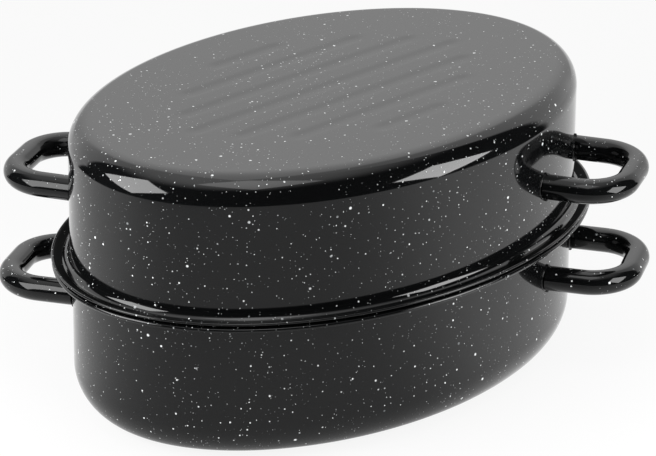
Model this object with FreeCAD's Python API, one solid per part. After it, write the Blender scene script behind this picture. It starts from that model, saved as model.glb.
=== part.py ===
import FreeCAD, Part
import math
import os

# An oval enamelled roasting pan with its deep lid. X is the long axis, Y the short one, Z up,
# and the origin is the middle of the pan's floor, on the surface it stands on. Millimetres.
# The upright wall of the lid is the guide oval. Sections are drawn as (out, z), where out is
# the distance outside that wall, and are carried round the oval at right angles to it.

V = FreeCAD.Vector

# Driving sizes of the two drawn shells
lidLength = 380.0            # over the lid's wall, long axis
lidWidth = 262.0             # over the lid's wall, short axis
panHeight = 104.0            # floor to the top of the pan's flange
lidHeight = 92.0             # from its seat on the flange to the lid's top
sheet = 1.2                  # enamelled steel sheet
panWallStep = 1.0            # the pan's wall stands this far outside the lid's
floorRadius = 24.0           # outside corner between the pan's floor and wall
shoulderRadius = 17.0        # outside corner between the lid's top and wall

# The rims: each wall turns out into a flat brim that ends in a rolled edge
brimReach = 14.5             # lid's wall to the outside of its rolled edge
brimCove = 3.2               # inside corner where the lid's wall turns out
flangeCove = 2.5             # inside corner where the pan's wall turns out
lidCurl = 1.9                # outside radius of the lid's rolled edge
panCurl = 1.9                # outside radius of the pan's rolled edge
rimPlay = 0.5                # the lid's rolled edge hangs this far clear of the pan's

# Channels pressed into the lid's top, along the long axis
grooveHalfLengths = (31.0, 80.0, 106.0, 121.0, 106.0, 80.0, 31.0)
groovePitch = 25.5
grooveWidth = 13.0
grooveDepth = 1.0

# The four carrying handles: a bent tube loop, its two open ends welded flat on the wall
tubeDiameter = 16.5
tubeWall = 1.5
loopHalfWidth = 36.7         # middle of the handle to the middle line of a leg
loopCorner = 27.0            # bend of the tube's middle line
loopReach = 47.5             # wall to the middle line at the tip
weldBead = 1.1               # radius of the weld's bead round each leg
lidHandleHeight = 138.5      # middle plane of the lid's two handles
panHandleHeight = 69.5       # and of the pan's
lidHandleAngle = -43.0       # place on the oval, seen from its middle
panHandleAngle = -39.5

guideLong = lidLength / 2
guideWide = lidWidth / 2
lidTop = panHeight + lidHeight
brimTop = panHeight + sheet
tubeRadius = tubeDiameter / 2
plateLap = 6.0               # the flat plates run this far into the swept rings


# A pen for sections at the guide oval's +X end: lines, and arcs about a centre
class Section:
    def __init__(self, out, z):
        self.start = self.at(out, z)
        self.here = self.start
        self.edges = []

    def at(self, out, z):
        return V(guideLong + out, 0, z)

    def line(self, out, z):
        point = self.at(out, z)
        self.edges.append(Part.LineSegment(self.here, point).toShape())
        self.here = point
        return self

    def arc(self, out, z, degrees):
        centre = self.at(out, z)
        arm = self.here - centre
        halfway = FreeCAD.Rotation(V(0, -1, 0), degrees / 2).multVec(arm)
        end = FreeCAD.Rotation(V(0, -1, 0), degrees).multVec(arm)
        self.edges.append(Part.Arc(self.here, centre + halfway, centre + end).toShape())
        self.here = centre + end
        return self

    def close(self):
        self.edges.append(Part.LineSegment(self.here, self.start).toShape())
        return Part.Wire(self.edges)


def carryRound(section):
    # sweeps a closed section once round the guide oval, square to it all the way
    oval = Part.Ellipse(V(0, 0, 0), guideLong, guideWide)
    sweep = Part.BRepOffsetAPI.MakePipeShell(Part.Wire(oval.toShape()))
    sweep.setBiNormalMode(V(0, 0, 1))
    sweep.add(section, False, False)
    sweep.build()
    sweep.makeSolid()
    return sweep.shape()


def ovalPlate(out, bottom):
    oval = Part.Ellipse(V(0, 0, bottom), guideLong + out, guideWide + out)
    return Part.Face(Part.Wire(oval.toShape())).extrude(V(0, 0, sheet))


# The deep-drawn pan: floor, corner, wall, flange and an edge rolled down under the flange
def panShell():
    inner = panWallStep - sheet
    flat = panWallStep - floorRadius
    coveOut = panWallStep + flangeCove
    coveZ = panHeight - sheet - flangeCove
    curlOut = brimReach - 2 * lidCurl - rimPlay - panCurl
    curlZ = panHeight - panCurl
    pen = Section(flat - 2 * plateLap, 0)
    pen.line(flat, 0).arc(flat, floorRadius, 90)
    pen.line(panWallStep, coveZ).arc(coveOut, coveZ, -90)
    pen.line(curlOut, panHeight - sheet).arc(curlOut, curlZ, -270)
    pen.line(curlOut - panCurl, curlZ).arc(curlOut, curlZ, 270)
    pen.line(coveOut, panHeight).arc(coveOut, coveZ, 90)
    pen.line(inner, floorRadius).arc(flat, floorRadius, -90)
    pen.line(flat - 2 * plateLap, sheet)
    ring = carryRound(pen.close())
    return ring.fuse(ovalPlate(flat - plateLap, 0)).removeSplitter()


# The deep-drawn lid: top, shoulder, wall, brim and an edge rolled down round the pan's
def lidShell():
    flat = -shoulderRadius
    shoulderZ = lidTop - shoulderRadius
    coveZ = brimTop + brimCove
    curlOut = brimReach - lidCurl
    curlZ = brimTop - lidCurl
    pen = Section(flat - 2 * plateLap, lidTop)
    pen.line(flat, lidTop).arc(flat, shoulderZ, -90)
    pen.line(0, coveZ).arc(brimCove, coveZ, 90)
    pen.line(curlOut, brimTop).arc(curlOut, curlZ, -270)
    pen.line(curlOut - lidCurl + sheet, curlZ).arc(curlOut, curlZ, 270)
    pen.line(brimCove, panHeight).arc(brimCove, coveZ, -90)
    pen.line(-sheet, shoulderZ).arc(flat, shoulderZ, 90)
    pen.line(flat - 2 * plateLap, lidTop - sheet)
    ring = carryRound(pen.close())
    shell = ring.fuse(ovalPlate(flat - plateLap, lidTop - sheet)).removeSplitter()
    middle = (len(grooveHalfLengths) - 1) / 2
    ridges = []
    grooves = []
    for index, halfLength in enumerate(grooveHalfLengths):
        y = (middle - index) * groovePitch
        ridges.append(grooveTool(halfLength, y, sheet).common(underTop()))
        grooves.append(grooveTool(halfLength, y, 0.0))
    return shell.fuse(ridges).cut(grooves)


def grooveTool(halfLength, y, skin):
    # a round-ended bar whose low side is the groove, or the ridge under it with a skin added
    radius = (grooveWidth**2 / 4 + grooveDepth**2) / (2 * grooveDepth)
    half = halfLength - grooveWidth / 2
    centreZ = lidTop - grooveDepth + radius
    bar = Part.makeCylinder(radius + skin, 2 * half, V(-half, y, centreZ), V(1, 0, 0))
    ends = [Part.makeSphere(radius + skin, V(side * half, y, centreZ)) for side in (-1, 1)]
    return bar.fuse(ends).removeSplitter()


def underTop():
    return Part.makeBox(lidLength, lidWidth, 2 * grooveDepth + sheet,
                        V(-guideLong, -guideWide, lidTop - sheet / 2 - 2 * grooveDepth - sheet))


# Where a handle sits: a frame with X out of the wall, Y along it and Z up
class Seat:
    def __init__(self, degrees, wallOut, height):
        angle = math.radians(degrees)
        radius = 1 / math.hypot(math.cos(angle) / guideLong, math.sin(angle) / guideWide)
        point = V(radius * math.cos(angle), radius * math.sin(angle), 0)
        normal = V(point.x / guideLong**2, point.y / guideWide**2, 0).normalize()
        self.turn = FreeCAD.Rotation(V(1, 0, 0), normal)
        self.place = FreeCAD.Placement(point + normal * wallOut + V(0, 0, height), self.turn)
        self.long = guideLong + wallOut
        self.wide = guideWide + wallOut

    def wallAt(self, along):
        # how far out the wall lies on the line Y = along, from the oval's own equation
        start = self.place.multVec(V(0, along, 0))
        way = self.turn.multVec(V(1, 0, 0))
        a = (way.x / self.long)**2 + (way.y / self.wide)**2
        b = start.x * way.x / self.long**2 + start.y * way.y / self.wide**2
        c = (start.x / self.long)**2 + (start.y / self.wide)**2 - 1
        return (-b + math.sqrt(b * b - a * c)) / a


# The tube loop: two legs and a tip, bent from one hollow tube
def tubeLoop(root):
    straight = loopReach - loopCorner
    tip = loopHalfWidth - loopCorner
    diagonal = loopCorner * math.sqrt(0.5)
    points = []
    for side in (1, -1):
        leg = V(root, side * loopHalfWidth, 0)
        bendStart = V(straight, side * loopHalfWidth, 0)
        bendMiddle = V(straight + diagonal, side * (tip + diagonal), 0)
        bendEnd = V(loopReach, side * tip, 0)
        points.append((leg, bendStart, bendMiddle, bendEnd))
    first, second = points
    path = Part.Wire([
        Part.LineSegment(first[0], first[1]).toShape(),
        Part.Arc(first[1], first[2], first[3]).toShape(),
        Part.LineSegment(first[3], second[3]).toShape(),
        Part.Arc(second[3], second[2], second[1]).toShape(),
        Part.LineSegment(second[1], second[0]).toShape(),
    ])
    rings = [Part.Wire(Part.makeCircle(radius, first[0], V(1, 0, 0)))
             for radius in (tubeRadius, tubeRadius - tubeWall)]
    outside, bore = [path.makePipeShell([ring], True, False) for ring in rings]
    return outside.cut(bore)


def handle(seat, wall):
    # the loop with a weld bead round each leg, trimmed to the outside of the wall
    root = min(seat.wallAt(side * (loopHalfWidth + tubeRadius)) for side in (1, -1)) - 2 * sheet
    beads = []
    for side in (1, -1):
        along = side * loopHalfWidth
        slope = (seat.wallAt(along + weldBead) - seat.wallAt(along - weldBead)) / (2 * weldBead)
        foot = V(seat.wallAt(along), along, 0)
        beads.append(Part.makeTorus(tubeRadius, weldBead, foot, V(1, -slope, 0)))
    body = tubeLoop(root).fuse(beads)
    body.Placement = seat.place
    return max(body.cut(wall).Solids, key=lambda solid: solid.Volume)


os.makedirs("parts", exist_ok=True)
pan = panShell()
lid = lidShell()
nodes = {"pan": pan, "lid": lid}
for name, shell, degrees, wallOut, height in (
        ("lid", lid, lidHandleAngle, 0.0, lidHandleHeight),
        ("pan", pan, panHandleAngle, panWallStep, panHandleHeight)):
    right = handle(Seat(degrees, wallOut, height), shell)
    left = right.copy()
    left.rotate(V(0, 0, 0), V(0, 0, 1), 180)
    nodes[name + "_handle_right"] = right
    nodes[name + "_handle_left"] = left

for name, shape in nodes.items():
    shape.exportStep("parts/" + name + ".step")
    print(name, len(shape.Solids), shape.isValid(), round(shape.Volume))
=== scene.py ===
import math
import bmesh
import bpy
from mathutils import Matrix, Vector
from mathutils.geometry import delaunay_2d_cdt


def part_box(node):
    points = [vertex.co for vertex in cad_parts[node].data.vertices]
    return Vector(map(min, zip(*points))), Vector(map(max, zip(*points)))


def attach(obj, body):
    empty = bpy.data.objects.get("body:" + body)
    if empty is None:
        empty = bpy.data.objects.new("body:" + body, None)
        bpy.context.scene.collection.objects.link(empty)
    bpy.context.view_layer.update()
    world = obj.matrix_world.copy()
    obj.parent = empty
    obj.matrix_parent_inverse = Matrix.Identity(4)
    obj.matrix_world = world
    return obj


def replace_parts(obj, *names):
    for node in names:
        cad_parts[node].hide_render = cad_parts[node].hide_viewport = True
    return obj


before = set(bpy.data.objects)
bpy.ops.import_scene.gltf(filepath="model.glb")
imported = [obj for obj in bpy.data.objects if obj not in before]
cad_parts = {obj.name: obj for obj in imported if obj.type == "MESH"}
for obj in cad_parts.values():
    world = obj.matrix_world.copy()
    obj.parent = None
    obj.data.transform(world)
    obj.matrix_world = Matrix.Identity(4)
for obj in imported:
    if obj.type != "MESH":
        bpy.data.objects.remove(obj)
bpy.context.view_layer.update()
mm = 0.001
print("frame loaded:", len(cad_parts), "nodes")


# A node socket that takes part in sums, so that shader and geometry maths read as plain Python
class Value:
    def __init__(self, graph, socket):
        self.graph = graph
        self.socket = socket

    def __add__(self, other):
        return self.graph.maths("ADD", self, other)

    def __sub__(self, other):
        return self.graph.maths("SUBTRACT", self, other)

    def __rsub__(self, other):
        return self.graph.maths("SUBTRACT", other, self)

    def __mul__(self, other):
        return self.graph.maths("MULTIPLY", self, other)

    def __truediv__(self, other):
        return self.graph.maths("DIVIDE", self, other)

    def __pow__(self, other):
        return self.graph.maths("POWER", self, other)

    def __gt__(self, other):
        return self.graph.maths("GREATER_THAN", self, other)

    __radd__ = __add__
    __rmul__ = __mul__


# A node tree, and the one way in which nodes are added to it
class Graph:
    def __init__(self, tree):
        self.tree = tree

    def add(self, kind, settings=None, sockets=None):
        node = self.tree.nodes.new(kind)
        for name, setting in (settings or {}).items():
            setattr(node, name, setting)
        for key, value in (sockets or {}).items():
            if isinstance(value, Value):
                self.tree.links.new(value.socket, node.inputs[key])
            else:
                node.inputs[key].default_value = value
        return node

    def out(self, node, key=0):
        return Value(self, node.outputs[key])

    def maths(self, operation, *values):
        return self.out(self.add("ShaderNodeMath", {"operation": operation}, dict(enumerate(values))))

    def blend(self, factor, first, second):
        # colours go through Mix: input 0 is the factor, 6 and 7 are the colours
        node = self.add("ShaderNodeMix", {"data_type": "RGBA"}, {0: factor, 6: first, 7: second})
        return self.out(node, 2)

    def rise(self, value, low, high):
        # 0 below low, 1 above high, a soft step between them
        settings = {"interpolation_type": "SMOOTHSTEP"}
        node = self.add("ShaderNodeMapRange", settings, {"Value": value, "From Min": low, "From Max": high})
        return self.out(node)


# Black enamel thrown with white specks: a few drops, many small ones and two throws of fine dust
enamelLook = {
    "black": (0.0036, 0.0038, 0.004, 1),
    "speckDark": (0.16, 0.17, 0.175, 1),
    "speckLight": (0.86, 0.88, 0.88, 1),
    "roughness": 0.045,
    "roughVary": 0.03,
    "specular": 0.5,             # 0.5 reflects as the ior says, less is duller
    "ior": 1.52,
    "clusterGap": 42 * mm,       # specks gather in loose clouds of about this size
    "clusterGain": 2.6,          # how strongly the clouds stand out
    "clusterBase": -0.3,
    "throws": (                  # gap between cells, smallest and largest radius, share of cells, strength
        (8.0 * mm, 0.5 * mm, 1.1 * mm, 0.6, 1.0),
        (4.4 * mm, 0.25 * mm, 0.75 * mm, 0.85, 0.95),
        (3.0 * mm, 0.2 * mm, 0.5 * mm, 0.75, 0.85),
        (2.2 * mm, 0.12 * mm, 0.36 * mm, 0.5, 0.6),
    ),
    "throwShift": 0.37,          # metres between the patterns of two throws
    "sizeBias": 2.5,             # above 1, most specks of a throw are near its smallest
    "speckEdge": (0.72, 1.1),    # shares of the radius over which a speck fades out
    "toneEdge": (0.05, 0.6),     # most specks are light, a few stay dark
    "speckRise": 0.012 * mm,
    "waveGap": 26 * mm,          # slow waves of the poured coat
    "waveHeight": 0.02 * mm,
    "dullScale": 60.0,
}


def spatter(graph, look, place, gap, small, large, share, crowd, shift):
    # one throw of round specks, each with its own radius and brightness
    apart = (shift, shift * 2, shift * 3)
    moved = graph.add("ShaderNodeVectorMath", {"operation": "ADD"}, {0: place, 1: apart})
    cells = graph.add("ShaderNodeTexVoronoi", {"feature": "F1"}, {
        "Vector": graph.out(moved), "Scale": 1 / gap})
    chance = graph.add("ShaderNodeSeparateColor", None, {"Color": graph.out(cells, "Color")})
    size = graph.out(chance, "Red")
    there = graph.out(chance, "Green")
    bright = graph.out(chance, "Blue")
    radius = (size ** look["sizeBias"] * (large - small) + small) * (1 / gap)
    inner, outer = look["speckEdge"]
    disc = 1 - graph.rise(graph.out(cells, "Distance"), radius * inner, radius * outer)
    return disc * (crowd * share > there), bright


def enamel(name, look, shift=0.0, share=1.0):
    material = bpy.data.materials.new(name)
    material.use_nodes = True
    material.node_tree.nodes.clear()
    graph = Graph(material.node_tree)
    place = graph.out(graph.add("ShaderNodeTexCoord"), "Object")
    cloud = graph.add("ShaderNodeTexNoise", None, {
        "Vector": place, "Scale": 1 / look["clusterGap"], "Detail": 2.0})
    crowd = graph.out(cloud) * look["clusterGain"] + look["clusterBase"]
    colour = look["black"]
    relief = 0
    for index, (gap, small, large, part, strength) in enumerate(look["throws"]):
        moved = shift + look["throwShift"] * index
        specks, bright = spatter(graph, look, place, gap, small, large, part * share, crowd, moved)
        tone = graph.blend(graph.rise(bright, *look["toneEdge"]), look["speckDark"], look["speckLight"])
        colour = graph.blend(specks * strength, colour, tone)
        relief = specks * look["speckRise"] + relief
    wave = graph.out(graph.add("ShaderNodeTexNoise", None, {
        "Vector": place, "Scale": 1 / look["waveGap"], "Detail": 1.0, "Roughness": 0.4}))
    bump = graph.add("ShaderNodeBump", None, {
        "Strength": 1.0, "Distance": 1.0, "Height": wave * look["waveHeight"] + relief})
    dull = graph.out(graph.add("ShaderNodeTexNoise", None, {
        "Vector": place, "Scale": look["dullScale"], "Detail": 3.0}))
    roughness = dull * look["roughVary"] + look["roughness"]
    shader = graph.add("ShaderNodeBsdfPrincipled", None, {
        "Base Color": colour, "Roughness": roughness, "IOR": look["ior"],
        "Specular IOR Level": look["specular"], "Normal": graph.out(bump)})
    graph.add("ShaderNodeOutputMaterial", None, {"Surface": graph.out(shader)})
    return material


# Two variants: the dull black band of the lid's edge, and the handles' coat, whose reflection is turned down
# as painted shade for the shadowed floor that the handles mirror
edgeLook = dict(enamelLook, roughness=0.4, roughVary=0.1, specular=0.012)
handleShadedCoat = dict(enamelLook, specular=0.33)


# The two shells, in metres; the oval itself comes from the frame
rimLook = {
    "sheet": 1.2 * mm,
    "panWallStep": 1.0 * mm,
    "lidWallStep": 2.4 * mm,     # the lid's wall stands this far outside the oval
    "floorRadius": 30 * mm,
    "shoulderRadius": 17 * mm,
    "brimReach": 14.5 * mm,
    "brimCove": 7.2 * mm,
    "brimDip": 1.5 * mm,         # the foot of the cove lies this far below the pan's top
    "bandLap": 1.5 * mm,         # the dull band starts this far inside the foot
    "bandRise": 2.2 * mm,        # and climbs this much to the lip
    "bandSheet": 1.0 * mm,
    "lipRadius": 0.85 * mm,      # the lid's rolled lip
    "lipDrop": 0.6,              # its middle lies this share of its radius below the band's top
    "lipOverlap": 1.6,           # and the band ends this many radii inside its outer side
    "clear": 0.1 * mm,           # play between faces that would coincide
    "flangeCove": 2.5 * mm,
    "panCurl": 1.6 * mm,         # the pan's rolled edge, a little inside the lid's
    "panInset": 0.5 * mm,
    "stations": 384,             # points round the oval
    "arcStep": 6.0,              # degrees between points of a section's arcs
    "nearEnd": 0.8 * mm,         # a line of a section has a point this close to each end
    "nearShare": 0.25,           # or at this share of it, where it is short
    "weld": 2e-5,                # points closer than this, in metres, are joined
    "flatWeld": 1e-7,            # the same while a plate is cut into triangles
}
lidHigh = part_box("lid")[1]
ovalLong = lidHigh.x - rimLook["brimReach"]
ovalWide = lidHigh.y - rimLook["brimReach"]
lidTop = lidHigh.z
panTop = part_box("pan")[1].z
footZ = panTop - rimLook["brimDip"]      # lowest part of the lid's cove, on its upper side


def ovalPoint(index, out, z):
    # a point of the curve that runs the distance out outside the guide oval
    angle = 2 * math.pi * index / rimLook["stations"]
    normal = Vector((math.cos(angle) * ovalWide, math.sin(angle) * ovalLong, 0)).normalized()
    return Vector((math.cos(angle) * ovalLong, math.sin(angle) * ovalWide, z)) + normal * out


# A pen for wall sections as (out, z): lines with a close point near each end, and fine arcs
class Section:
    def __init__(self, out, z):
        self.points = [(out, z)]

    def line(self, out, z):
        fromOut, fromZ = self.points[-1]
        length = math.hypot(out - fromOut, z - fromZ)
        near = min(rimLook["nearShare"], rimLook["nearEnd"] / length)
        for share in (near, 0.5, 1 - near, 1):
            self.points.append((fromOut + (out - fromOut) * share, fromZ + (z - fromZ) * share))
        return self

    def arc(self, out, z, degrees):
        fromOut, fromZ = self.points[-1]
        radius = math.hypot(fromOut - out, fromZ - z)
        start = math.atan2(fromZ - z, fromOut - out)
        steps = max(3, round(abs(degrees) / rimLook["arcStep"]))
        for step in range(1, steps + 1):
            angle = start + math.radians(degrees) * step / steps
            self.points.append((out + radius * math.cos(angle), z + radius * math.sin(angle)))
        return self


def lidSection():
    sheet = rimLook["sheet"]
    step = rimLook["lidWallStep"]
    flat = -rimLook["shoulderRadius"]
    shoulderZ = lidTop - rimLook["shoulderRadius"]
    cove = rimLook["brimCove"]
    coveZ = footZ + cove - step
    pen = Section(flat, lidTop).line(flat + step, lidTop).arc(flat + step, shoulderZ, -90).line(step, coveZ)
    pen.arc(cove, coveZ, 90).arc(cove, footZ - sheet / 2, -180).arc(cove, coveZ, -90)
    pen.line(step - sheet, shoulderZ).arc(flat + step, shoulderZ, 90)
    return pen.line(flat, lidTop - sheet).points


def lipSection():
    radius = rimLook["lipRadius"]
    out = rimLook["brimReach"] - radius
    z = footZ + rimLook["bandRise"] - radius * rimLook["lipDrop"]
    return Section(out + radius, z).arc(out, z, 360).points


def bandSection():
    # a closed strip from inside the cove's foot up to the lip
    sheet = rimLook["bandSheet"]
    start = rimLook["brimCove"] - rimLook["bandLap"]
    end = rimLook["brimReach"] - rimLook["lipOverlap"] * rimLook["lipRadius"]
    clear = rimLook["clear"]
    low = footZ - clear
    high = footZ + rimLook["bandRise"]
    pen = Section(start, low - sheet / 2).line(rimLook["brimCove"], low).line(end - sheet, high - clear)
    pen.line(end, high).line(end, high - sheet)
    return pen.line(start, low - sheet).line(start, low - sheet / 2).points


def panSection():
    sheet = rimLook["sheet"]
    curl = rimLook["panCurl"]
    step = rimLook["panWallStep"]
    corner = rimLook["floorRadius"]
    flat = step - corner
    flangeTop = footZ - sheet - rimLook["clear"]
    coveOut = step + rimLook["flangeCove"]
    coveZ = flangeTop - sheet - rimLook["flangeCove"]
    curlOut = rimLook["brimReach"] - rimLook["panInset"] - curl
    curlZ = flangeTop - curl
    pen = Section(flat, 0).arc(flat, corner, 90).line(step, coveZ).arc(coveOut, coveZ, -90)
    pen.line(curlOut - curl, flangeTop - sheet).line(curlOut - curl, curlZ).arc(curlOut, curlZ, 270)
    pen.line(coveOut, flangeTop).arc(coveOut, coveZ, 90)
    return pen.line(step - sheet, corner).arc(flat, corner, -90).points


def geometryGraph(name, inputs):
    # a Geometry Nodes tree with a mesh coming in, a mesh going out and named number inputs
    tree = bpy.data.node_groups.new(name, "GeometryNodeTree")
    tree.interface.new_socket("Geometry", in_out="INPUT", socket_type="NodeSocketGeometry")
    for label, kind in inputs:
        tree.interface.new_socket(label, in_out="INPUT", socket_type=kind)
    tree.interface.new_socket("Geometry", in_out="OUTPUT", socket_type="NodeSocketGeometry")
    return Graph(tree)


def grown(name, points, edges, faces, graph, settings):
    # runs a tree on points, edges or faces and gives back the plain mesh that comes out
    seed = bpy.data.meshes.new(name + "Seed")
    seed.from_pydata(points, edges, faces)
    holder = bpy.data.objects.new(name + "Seed", seed)
    bpy.context.collection.objects.link(holder)
    modifier = holder.modifiers.new("grow", "NODES")
    modifier.node_group = graph.tree
    for item in graph.tree.interface.items_tree:
        if item.in_out == "INPUT" and item.name in settings:
            modifier[item.identifier] = settings[item.name]
    evaluated = holder.evaluated_get(bpy.context.evaluated_depsgraph_get())
    mesh = bpy.data.meshes.new_from_object(evaluated)
    bpy.data.objects.remove(holder)
    bpy.data.meshes.remove(seed)
    mesh.name = name
    return mesh


def rimGraph():
    # carries a section, drawn flat as (out, z), once round the guide oval
    graph = geometryGraph("carryRound", [
        ("Half length", "NodeSocketFloat"), ("Half width", "NodeSocketFloat"),
        ("Stations", "NodeSocketInt"), ("Material", "NodeSocketMaterial")])
    inputs = graph.add("NodeGroupInput")
    circle = graph.add("GeometryNodeCurvePrimitiveCircle", None, {
        "Resolution": graph.out(inputs, "Stations"), "Radius": 1.0})
    place = graph.out(graph.add("GeometryNodeInputPosition"))
    position = graph.add("ShaderNodeSeparateXYZ", None, {0: place})
    stretched = graph.add("ShaderNodeCombineXYZ", None, {
        "X": graph.out(position, "X") * graph.out(inputs, "Half length"),
        "Y": graph.out(position, "Y") * graph.out(inputs, "Half width")})
    oval = graph.add("GeometryNodeSetPosition", None, {
        "Geometry": graph.out(circle), "Position": graph.out(stretched)})
    upright = graph.add("GeometryNodeSetCurveNormal", {"mode": "Z_UP"}, {"Curve": graph.out(oval)})
    section = graph.add("GeometryNodeMeshToCurve", None, {"Mesh": graph.out(inputs, "Geometry")})
    swept = graph.add("GeometryNodeCurveToMesh", None, {
        "Curve": graph.out(upright), "Profile Curve": graph.out(section)})
    real = graph.add("GeometryNodeRealizeInstances", None, {"Geometry": graph.out(swept)})
    dressed = graph.add("GeometryNodeSetMaterial", None, {
        "Geometry": graph.out(real), "Material": graph.out(inputs, "Material")})
    graph.add("NodeGroupOutput", None, {"Geometry": graph.out(dressed)})
    return graph


# Channels pressed into the lid's top, along the long axis
grooveLook = {
    "halfLengths": (33, 82, 108, 123, 108, 82, 33),
    "pitch": 25.5 * mm,
    "halfWidth": 8.8 * mm,       # with the soft lip
    "depth": 1.0 * mm,
    "endSoft": 0.62,             # 1 rounds the ends off, less draws them out
    "across": 0.9 * mm,          # grid over the grooves, across and along them
    "along": 3.0 * mm,
    "reachLong": 128 * mm,       # half size of that grid
    "reachWide": 90 * mm,
}
floorGrid = {"across": 12 * mm, "along": 12 * mm, "reachLong": 160 * mm, "reachWide": 110 * mm}
gridMargin = 4 * mm              # no grid point lies closer to a plate's rim


def pressGraph():
    # presses the row of grooves into a flat plate
    graph = geometryGraph("pressGrooves", [
        ("Pitch", "NodeSocketFloat"), ("Half width", "NodeSocketFloat"), ("Depth", "NodeSocketFloat"),
        ("Material", "NodeSocketMaterial")])
    inputs = graph.add("NodeGroupInput")
    place = graph.out(graph.add("GeometryNodeInputPosition"))
    position = graph.add("ShaderNodeSeparateXYZ", None, {0: place})
    halfWidth = graph.out(inputs, "Half width")
    pressed = 0
    middle = (len(grooveLook["halfLengths"]) - 1) / 2
    for index, halfLength in enumerate(grooveLook["halfLengths"]):
        aside = graph.out(position, "Y") - graph.out(inputs, "Pitch") * (middle - index)
        beyond = graph.maths("ABSOLUTE", graph.out(position, "X")) + halfWidth - halfLength * mm
        ahead = graph.maths("MAXIMUM", beyond * grooveLook["endSoft"], 0.0)
        away = graph.maths("SQRT", aside * aside + ahead * ahead) / halfWidth
        inside = graph.maths("MINIMUM", away, 1.0)
        pressed = graph.maths("COSINE", inside * math.pi) * 0.5 + 0.5 + pressed
    sunk = graph.add("ShaderNodeCombineXYZ", None, {"Z": pressed * graph.out(inputs, "Depth") * -1})
    shaped = graph.add("GeometryNodeSetPosition", None, {
        "Geometry": graph.out(inputs, "Geometry"), "Offset": graph.out(sunk)})
    real = graph.add("GeometryNodeRealizeInstances", None, {"Geometry": graph.out(shaped)})
    dressed = graph.add("GeometryNodeSetMaterial", None, {
        "Geometry": graph.out(real), "Material": graph.out(inputs, "Material")})
    graph.add("NodeGroupOutput", None, {"Geometry": graph.out(dressed)})
    return graph


def plateMesh(out, z, down, across, along, reachLong, reachWide):
    # a flat plate that fills the oval, with a close grid in its middle
    rim = [ovalPoint(index, out, z).xy for index in range(rimLook["stations"])]
    points = list(rim)
    columns = round(reachLong / along)
    rows = round(reachWide / across)
    for column in range(-columns, columns + 1):
        for row in range(-rows, rows + 1):
            point = Vector((column * along, row * across))
            inLong = point.x / (ovalLong + out - gridMargin)
            inWide = point.y / (ovalWide + out - gridMargin)
            if inLong ** 2 + inWide ** 2 < 1:
                points.append(point)
    ring = [(index, (index + 1) % len(rim)) for index in range(len(rim))]
    found = delaunay_2d_cdt(points, ring, [], 1, rimLook["flatWeld"])
    faces = [face[::-1] if down else face for face in found[2]]
    return [(point.x, point.y, z) for point in found[0]], faces


def sweptBand(name, section, material):
    # the tree carries a section with its second coordinate pointing down
    line = [(out, -z, 0) for out, z in section]
    edges = [(index, index + 1) for index in range(len(line) - 1)]
    return grown(name, line, edges, [], rimTree, {
        "Half length": ovalLong, "Half width": ovalWide, "Stations": rimLook["stations"],
        "Material": material})


def shell(name, material, slot, meshes):
    # swept bands and plates, welded where they meet
    made = bmesh.new()
    for mesh in meshes:
        made.from_mesh(mesh)
    bmesh.ops.remove_doubles(made, verts=made.verts, dist=rimLook["weld"])
    bmesh.ops.recalc_face_normals(made, faces=made.faces)
    return finish(made, name, material, slot)


def finish(made, name, material, slot):
    openEdges = [edge for edge in made.edges if not edge.is_manifold]
    mesh = bpy.data.meshes.new(name)
    made.to_mesh(mesh)
    made.free()
    mesh.materials.clear()
    mesh.materials.append(material)
    for polygon in mesh.polygons:
        polygon.use_smooth = True
        polygon.material_index = 0
    piece = bpy.data.objects.new(name, mesh)
    bpy.context.collection.objects.link(piece)
    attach(piece, "root")
    print(name, len(mesh.polygons), "faces,", len(openEdges), "open edges")
    return piece


rimTree = rimGraph()
pressTree = pressGraph()
lidEnamel = enamel("lidEnamel", enamelLook, shift=0.11)
edgeEnamel = enamel("edgeEnamel", edgeLook, shift=0.31, share=0.3)
panEnamel = enamel("panEnamel", enamelLook, shift=0.53)


def lidPiece():
    press = {"Pitch": grooveLook["pitch"], "Half width": grooveLook["halfWidth"],
             "Depth": grooveLook["depth"], "Material": lidEnamel}
    grid = {key: grooveLook[key] for key in floorGrid}
    parts = [sweptBand("lidBand", lidSection(), lidEnamel), sweptBand("lidLip", lipSection(), lidEnamel)]
    for z, down in ((lidTop, False), (lidTop - rimLook["sheet"], True)):
        points, faces = plateMesh(-rimLook["shoulderRadius"], z, down, **grid)
        parts.append(grown("lidPlate", points, [], faces, pressTree, press))
    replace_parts(shell("lidShell", lidEnamel, "enamel_lid", parts), "lid")
    shell("lidRim", edgeEnamel, "enamel_lid", [sweptBand("lidRim", bandSection(), edgeEnamel)])


def panPiece():
    parts = [sweptBand("panBand", panSection(), panEnamel)]
    for z, down in ((0, True), (rimLook["sheet"], False)):
        points, faces = plateMesh(rimLook["panWallStep"] - rimLook["floorRadius"], z, down, **floorGrid)
        plate = bpy.data.meshes.new("panPlate")
        plate.from_pydata(points, [], faces)
        parts.append(plate)
    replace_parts(shell("panShell", panEnamel, "enamel_pan", parts), "pan")


lidPiece()
panPiece()
print("shells made")

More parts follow.
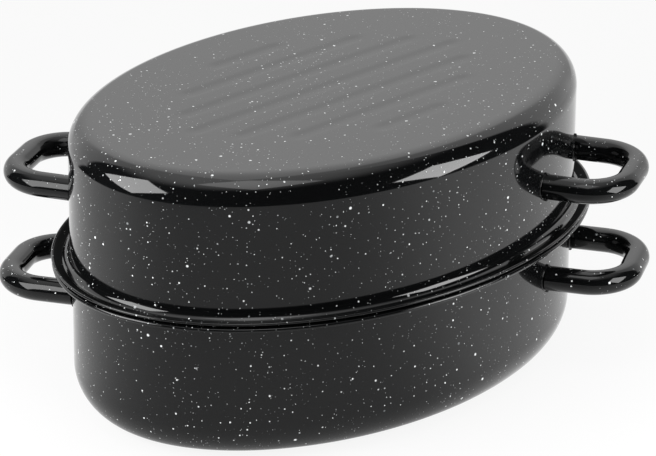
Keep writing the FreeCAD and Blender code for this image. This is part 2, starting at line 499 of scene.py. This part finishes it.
# Handles: one bent tube each, its legs welded straight to the wall
handleLook = {
    "radius": 8.25 * mm,
    "halfWidth": 36.7 * mm,      # middle of the handle to the middle line of a leg
    "corner": 27 * mm,           # bend of the tube's middle line
    "sunk": 0.5 * mm,            # the legs end this deep in the wall's sheet
    "sides": 56,
    "bendStep": 4.5,             # degrees between rings
    "runStep": 4.0 * mm,
    "beadRadius": 0.65 * mm,
    "beadClear": 3,              # the first ring after the wall, in bead radii
    "beadSeat": 1.5,             # points nearer than this to the wall go into it, in bead radii
    "beadUneven": 0.7,           # share of the radius
    "beadSteps": 120,
    "beadSides": 10,
    "dropRadius": 0.8 * mm,
    "dropShare": 0.12,
    "dripOut": 0.6,              # how far a drip's middle stands off the wall, in its half widths
    "dripAway": 0.35,            # and off the tube, in its half heights
    "lumpScale": 260.0,
    "burr": (0.9 * mm, 1.2 * mm),    # half width and half height, on top of each weld
    "run": (1.2 * mm, 1.5 * mm),     # the same for the enamel that hangs below it
    "weld": 1e-6,                # points closer than this, in metres, are joined
    "seed": 4,
}
seats = {
    "lid": {"degrees": -43.0, "wallOut": rimLook["lidWallStep"], "height": 138.5 * mm, "reach": 45.1 * mm},
    "pan": {"degrees": -39.5, "wallOut": rimLook["panWallStep"], "height": 69.5 * mm, "reach": 47.5 * mm},
}


# Where a handle sits: a frame with X out of the wall, Y along it and Z up
class Seat:
    def __init__(self, degrees, wallOut, height, reach):
        angle = math.radians(degrees)
        radius = 1 / math.hypot(math.cos(angle) / ovalLong, math.sin(angle) / ovalWide)
        point = Vector((radius * math.cos(angle), radius * math.sin(angle), 0))
        self.out = Vector((point.x / ovalLong ** 2, point.y / ovalWide ** 2, 0)).normalized()
        self.aside = Vector((-self.out.y, self.out.x, 0))
        self.foot = point + self.out * wallOut + Vector((0, 0, height))
        self.reach = reach       # wall to the middle line at the tip
        self.long = ovalLong + wallOut
        self.wide = ovalWide + wallOut

    def place(self, point):
        return self.foot + self.out * point.x + self.aside * point.y + Vector((0, 0, point.z))

    def wallAt(self, along):
        # how far out the wall lies on the line Y = along, from the oval's own equation
        start = self.foot + self.aside * along
        a = (self.out.x / self.long) ** 2 + (self.out.y / self.wide) ** 2
        b = start.x * self.out.x / self.long ** 2 + start.y * self.out.y / self.wide ** 2
        c = (start.x / self.long) ** 2 + (start.y / self.wide) ** 2 - 1
        return (-b + math.sqrt(b * b - a * c)) / a


def tubeGraph():
    # a round tube along the line that comes in
    graph = geometryGraph("bendTube", [
        ("Radius", "NodeSocketFloat"), ("Sides", "NodeSocketInt"), ("Material", "NodeSocketMaterial")])
    inputs = graph.add("NodeGroupInput")
    line = graph.add("GeometryNodeMeshToCurve", None, {"Mesh": graph.out(inputs, "Geometry")})
    ring = graph.add("GeometryNodeCurvePrimitiveCircle", None, {
        "Resolution": graph.out(inputs, "Sides"), "Radius": graph.out(inputs, "Radius")})
    tube = graph.add("GeometryNodeCurveToMesh", None, {
        "Curve": graph.out(line), "Profile Curve": graph.out(ring), "Fill Caps": True})
    real = graph.add("GeometryNodeRealizeInstances", None, {"Geometry": graph.out(tube)})
    dressed = graph.add("GeometryNodeSetMaterial", None, {
        "Geometry": graph.out(real), "Material": graph.out(inputs, "Material")})
    graph.add("NodeGroupOutput", None, {"Geometry": graph.out(dressed)})
    return graph


def weldGraph():
    # an uneven bead along the line that comes in, with drops of enamel on it
    graph = geometryGraph("runWeld", [
        ("Bead radius", "NodeSocketFloat"), ("Uneven", "NodeSocketFloat"), ("Sides", "NodeSocketInt"),
        ("Drop radius", "NodeSocketFloat"), ("Drop share", "NodeSocketFloat"), ("Seed", "NodeSocketInt"),
        ("Material", "NodeSocketMaterial")])
    inputs = graph.add("NodeGroupInput")
    line = graph.add("GeometryNodeMeshToCurve", None, {"Mesh": graph.out(inputs, "Geometry")})
    place = graph.out(graph.add("GeometryNodeInputPosition"))
    lumps = graph.out(graph.add("ShaderNodeTexNoise", None, {
        "Vector": place, "Scale": handleLook["lumpScale"], "Detail": 2.0}))
    swell = (lumps - 0.5) * graph.out(inputs, "Uneven") * 3.0 + 1.0
    uneven = graph.add("GeometryNodeSetCurveRadius", None, {"Curve": graph.out(line), "Radius": swell})
    ring = graph.add("GeometryNodeCurvePrimitiveCircle", None, {
        "Resolution": graph.out(inputs, "Sides"), "Radius": graph.out(inputs, "Bead radius")})
    bead = graph.add("GeometryNodeCurveToMesh", None, {
        "Curve": graph.out(uneven), "Profile Curve": graph.out(ring)})
    chosen = graph.add("FunctionNodeRandomValue", {"data_type": "BOOLEAN"}, {
        "Probability": graph.out(inputs, "Drop share"), "Seed": graph.out(inputs, "Seed")})
    grain = graph.add("FunctionNodeRandomValue", {"data_type": "FLOAT"}, {
        2: 0.5, 3: 1.2, "Seed": graph.out(inputs, "Seed")})
    drop = graph.add("GeometryNodeMeshIcoSphere", None, {
        "Radius": graph.out(inputs, "Drop radius"), "Subdivisions": 3})
    drops = graph.add("GeometryNodeInstanceOnPoints", None, {
        "Points": graph.out(inputs, "Geometry"), "Selection": graph.out(chosen, 3),
        "Instance": graph.out(drop), "Scale": graph.out(grain, 1)})
    joined = graph.add("GeometryNodeJoinGeometry")
    for node in (bead, drops):
        graph.tree.links.new(node.outputs[0], joined.inputs[0])
    real = graph.add("GeometryNodeRealizeInstances", None, {"Geometry": graph.out(joined)})
    dressed = graph.add("GeometryNodeSetMaterial", None, {
        "Geometry": graph.out(real), "Material": graph.out(inputs, "Material")})
    graph.add("NodeGroupOutput", None, {"Geometry": graph.out(dressed)})
    return graph


def loopLine(seat):
    # the tube's middle line: out from the wall, round two bends and back
    look = handleLook
    straight = seat.reach - look["corner"]
    tip = look["halfWidth"] - look["corner"]
    points = []
    for side in (1, -1):
        root = seat.wallAt(side * look["halfWidth"])
        start = root + look["beadClear"] * look["beadRadius"]
        runs = max(2, round((straight - start) / look["runStep"]))
        half = [Vector((root, side * look["halfWidth"], 0))]
        for run in range(runs):
            half.append(Vector((start + (straight - start) * run / runs, side * look["halfWidth"], 0)))
        bends = round(90 / look["bendStep"])
        for bend in range(bends + 1):
            angle = math.radians(90 * bend / bends)
            half.append(Vector((straight + look["corner"] * math.sin(angle),
                                side * (tip + look["corner"] * math.cos(angle)), 0)))
        points += half if side == 1 else half[::-1]
    return points


def weldLine(seat, side):
    # where a leg meets the wall
    look = handleLook
    points = []
    for step in range(look["beadSteps"]):
        angle = 2 * math.pi * step / look["beadSteps"]
        along = side * look["halfWidth"] + look["radius"] * math.cos(angle)
        points.append(Vector((seat.wallAt(along), along, look["radius"] * math.sin(angle))))
    return points


def drip(mesh, seat, side, up, width, length):
    # a small drop that hangs below a weld, or a burr that stands on it
    look = handleLook
    along = side * look["halfWidth"]
    out = seat.wallAt(along) + look["dripOut"] * width
    spot = Vector((out, along, up * (look["radius"] + look["dripAway"] * length)))
    shape = Matrix.Translation(spot) @ Matrix.Diagonal((width, width, length, 1))
    bmesh.ops.create_icosphere(mesh, subdivisions=3, radius=1, matrix=shape)


def handlePiece(name, seat, turned, seed):
    look = handleLook
    points = loopLine(seat)
    tube = grown(name, points, [(index, index + 1) for index in range(len(points) - 1)], [], tubeTree, {
        "Radius": look["radius"], "Sides": look["sides"], "Material": handleEnamel})
    made = bmesh.new()
    made.from_mesh(tube)
    for vert in made.verts:
        wall = seat.wallAt(vert.co.y)
        if vert.co.x < wall + look["beadSeat"] * look["beadRadius"]:
            vert.co.x = wall - look["sunk"]
    for side in (1, -1):
        line = weldLine(seat, side)
        ring = [(index, (index + 1) % len(line)) for index in range(len(line))]
        made.from_mesh(grown(name, line, ring, [], weldTree, {
            "Bead radius": look["beadRadius"], "Uneven": look["beadUneven"], "Sides": look["beadSides"],
            "Drop radius": look["dropRadius"], "Drop share": look["dropShare"], "Seed": seed + side,
            "Material": handleEnamel}))
        drip(made, seat, side, 1, *look["burr"])
        drip(made, seat, side, -1, *look["run"])
    half = Matrix.Rotation(math.pi, 4, "Z") if turned else Matrix.Identity(4)
    for vert in made.verts:
        vert.co = half @ seat.place(vert.co)
    bmesh.ops.remove_doubles(made, verts=made.verts, dist=look["weld"])
    bmesh.ops.recalc_face_normals(made, faces=made.faces)
    piece = finish(made, name + "Loop", handleEnamel, "enamel_" + name)
    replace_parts(piece, name)


tubeTree = tubeGraph()
weldTree = weldGraph()
# the handles' enamel reflects less than the shells': painted shade standing in for the floor's shadow seen
# in them
handleEnamel = enamel("handleEnamel", handleShadedCoat, shift=0.77, share=0.7)
for shellName, seatLook in seats.items():
    seat = Seat(**seatLook)
    for turned, end in ((False, "right"), (True, "left")):
        handlePiece(shellName + "_handle_" + end, seat, turned, handleLook["seed"] + 10 * turned)
print("handles made")

# Camera: a long lens above the rim, about 45 degrees round from the broad side
cameraLook = {
    "azimuth": -44.72,
    "elevation": 22.92,
    "roll": 0.45,
    "distance": 2.644,
    "aim": (0, 0, 0.1003),
    "aimRight": 0.0009,
    "aimUp": -0.0046,
    "lens": 219.5,
    "sensor": 36,
    "farthest": 100,
}


def addCamera(look):
    lens = bpy.data.cameras.new("camera")
    lens.lens = look["lens"]
    lens.sensor_width = look["sensor"]
    lens.clip_end = look["farthest"]
    camera = bpy.data.objects.new("camera", lens)
    bpy.context.collection.objects.link(camera)
    turn = Matrix.Rotation(math.radians(look["azimuth"]), 3, "Z")
    tilt = Matrix.Rotation(math.radians(90 - look["elevation"]), 3, "X")
    roll = Matrix.Rotation(math.radians(look["roll"]), 3, "Z")
    facing = turn @ tilt @ roll
    aim = Vector(look["aim"]) + facing @ Vector((look["aimRight"], look["aimUp"], 0))
    place = aim + facing @ Vector((0, 0, look["distance"]))
    camera.matrix_world = Matrix.Translation(place) @ facing.to_4x4()
    bpy.context.scene.camera = camera


addCamera(cameraLook)

# Studio: a white sweep behind and at the sides, a dark room in front, a white sheet on the floor, soft boxes
studioLook = {
    "front": (-0.7036, -0.7106, 0),
    "right": (0.7106, -0.7036, 0),
    "floorWhite": 0.95,
    "fill": 0.55,                # what the surround adds as plain light
    "sweep": 1.12,               # strength of the white at the sides, in reflections
    "sweepEdge": (0.4, 0.48),    # cosine, away from the front, from which it is white
    "behind": (0.68, 1.3),       # strength right behind at floor level, and what it gains higher up
    "behindEdge": (0.8, 0.92),   # cosine, away from the front, over which that takes over
    "behindRise": (0.0, 0.8),    # sine of the elevation over which it gains
    "ceiling": (0.616, 0.978),   # sine of the elevation over which the dark front turns light
    "ceilingWhite": 1.3,
    "ceilingRight": 0.08,        # how much higher that is on the right
    "rightEdge": (0.2, 0.8),
    "sheetFront": 0.5,           # strength of the floor's sheet in reflections, in front and elsewhere
    "sheetSide": 1.0,
    "sheetTurn": (0.2, 0.95),    # cosine, towards the front, over which one turns into the other
    "sheetEdge": (0.6, 0.66),    # metres from the middle
    "seenWhite": 0.88,           # share of plain white in the floor that the camera sees, the rest is lit
    "floorRadius": 6,
    "floorSunk": 0.2 * mm,       # so that it doesn't share the pan's lowest plane
    "tiny": 0.0001,              # keeps a root and a division off zero
}


def partAlong(graph, place, way):
    # how far a place lies along a direction
    product = graph.add("ShaderNodeVectorMath", {"operation": "DOT_PRODUCT"}, {0: place, 1: way})
    return graph.out(product, "Value")


def addStudio(look):
    world = bpy.data.worlds.new("studio")
    bpy.context.scene.world = world
    world.use_nodes = True
    world.node_tree.nodes.clear()
    graph = Graph(world.node_tree)
    way = graph.out(graph.add("ShaderNodeTexCoord"), "Generated")
    front = partAlong(graph, way, look["front"])
    right = partAlong(graph, way, look["right"])
    up = partAlong(graph, way, (0, 0, 1))
    level = (front * front + right * right + look["tiny"]) ** 0.5
    away = front * -1 / level
    sweep = graph.rise(away, *look["sweepEdge"])
    low, gain = look["behind"]
    rear = graph.rise(up, *look["behindRise"]) * gain + (low - look["sweep"])
    sweep = sweep * (graph.rise(away, *look["behindEdge"]) * rear + look["sweep"])
    lift = graph.rise(right / level, *look["rightEdge"]) * look["ceilingRight"]
    ceiling = graph.rise(up - lift, *look["ceiling"]) * look["ceilingWhite"]
    white = graph.maths("MAXIMUM", sweep, ceiling)
    path = graph.add("ShaderNodeLightPath")
    seen = graph.out(path, "Is Camera Ray")
    glossy = graph.out(path, "Is Glossy Ray")
    strength = seen + glossy * white + (1 - seen) * (1 - glossy) * look["fill"]
    background = graph.add("ShaderNodeBackground", None, {"Color": (1, 1, 1, 1), "Strength": strength})
    graph.add("ShaderNodeOutputWorld", None, {"Surface": graph.out(background)})


def addFloor(look):
    made = bmesh.new()
    sunk = Matrix.Translation((0, 0, -look["floorSunk"]))
    bmesh.ops.create_circle(made, cap_ends=True, segments=96, radius=look["floorRadius"], matrix=sunk)
    mesh = bpy.data.meshes.new("floor")
    made.to_mesh(mesh)
    made.free()
    floor = bpy.data.objects.new("floor", mesh)
    bpy.context.collection.objects.link(floor)
    material = bpy.data.materials.new("paleFloor")
    material.use_nodes = True
    material.node_tree.nodes.clear()
    graph = Graph(material.node_tree)
    place = graph.out(graph.add("ShaderNodeTexCoord"), "Object")
    front = partAlong(graph, place, look["front"])
    right = partAlong(graph, place, look["right"])
    level = (front * front + right * right + look["tiny"]) ** 0.5
    facing = front / level
    sheet = 1 - graph.rise(level, *look["sheetEdge"])
    behind = graph.rise(facing * -1, *look["sweepEdge"])
    inFront = graph.rise(facing, *look["sheetTurn"])
    tone = inFront * (look["sheetFront"] - look["sheetSide"]) + look["sheetSide"]
    path = graph.add("ShaderNodeLightPath")
    seen = graph.out(path, "Is Camera Ray")
    glossy = graph.out(path, "Is Glossy Ray")
    matt = graph.add("ShaderNodeBsdfDiffuse", None, {"Color": (look["floorWhite"],) * 3 + (1,)})
    strength = seen + glossy * tone * graph.maths("MAXIMUM", sheet, behind)
    glow = graph.add("ShaderNodeEmission", None, {"Color": (1, 1, 1, 1), "Strength": strength})
    mix = graph.add("ShaderNodeMixShader", None, {
        0: graph.maths("MAXIMUM", seen * look["seenWhite"], glossy), 1: graph.out(matt), 2: graph.out(glow)})
    graph.add("ShaderNodeOutputMaterial", None, {"Surface": graph.out(mix)})
    mesh.materials.append(material)


# Square soft boxes, each hung on one corner, with angles and distance seen from the spot that it shines on
lampLook = {
    "left": {"spot": (-0.182, -0.027, 0.185), "azimuth": 158.3, "elevation": 15.5, "distance": 0.4,
             "side": 0.32, "radiance": 7.0},
    "right": {"spot": (-0.027, -0.128, 0.183), "azimuth": -58.7, "elevation": 3.5, "distance": 0.4,
              "side": 0.22, "radiance": 7.5},
    "top": {"spot": (-0.072, -0.102, 0.188), "azimuth": -128.0, "elevation": 68.0, "distance": 1.3,
            "side": 0.72, "radiance": 1.6},
}


def addLamps(look):
    for name, lamp in look.items():
        light = bpy.data.lights.new(name, "AREA")
        light.shape = "SQUARE"
        light.size = lamp["side"]
        light.energy = lamp["radiance"] * math.pi * lamp["side"] ** 2
        piece = bpy.data.objects.new(name, light)
        piece.visible_camera = False
        bpy.context.collection.objects.link(piece)
        angle = math.radians(lamp["azimuth"])
        lift = math.radians(lamp["elevation"])
        level = math.cos(lift)
        way = Vector((math.cos(angle) * level, math.sin(angle) * level, math.sin(lift)))
        facing = way.to_track_quat("Z", "Y").to_matrix()
        hung = Matrix.Rotation(math.radians(45), 3, "Z")
        spot = Vector(lamp["spot"]) + way * lamp["distance"]
        piece.matrix_world = Matrix.Translation(spot) @ (facing @ hung).to_4x4()


addStudio(studioLook)
addFloor(studioLook)
addLamps(lampLook)
bpy.context.scene.view_settings.view_transform = "Standard"
print("camera, studio and lamps set")
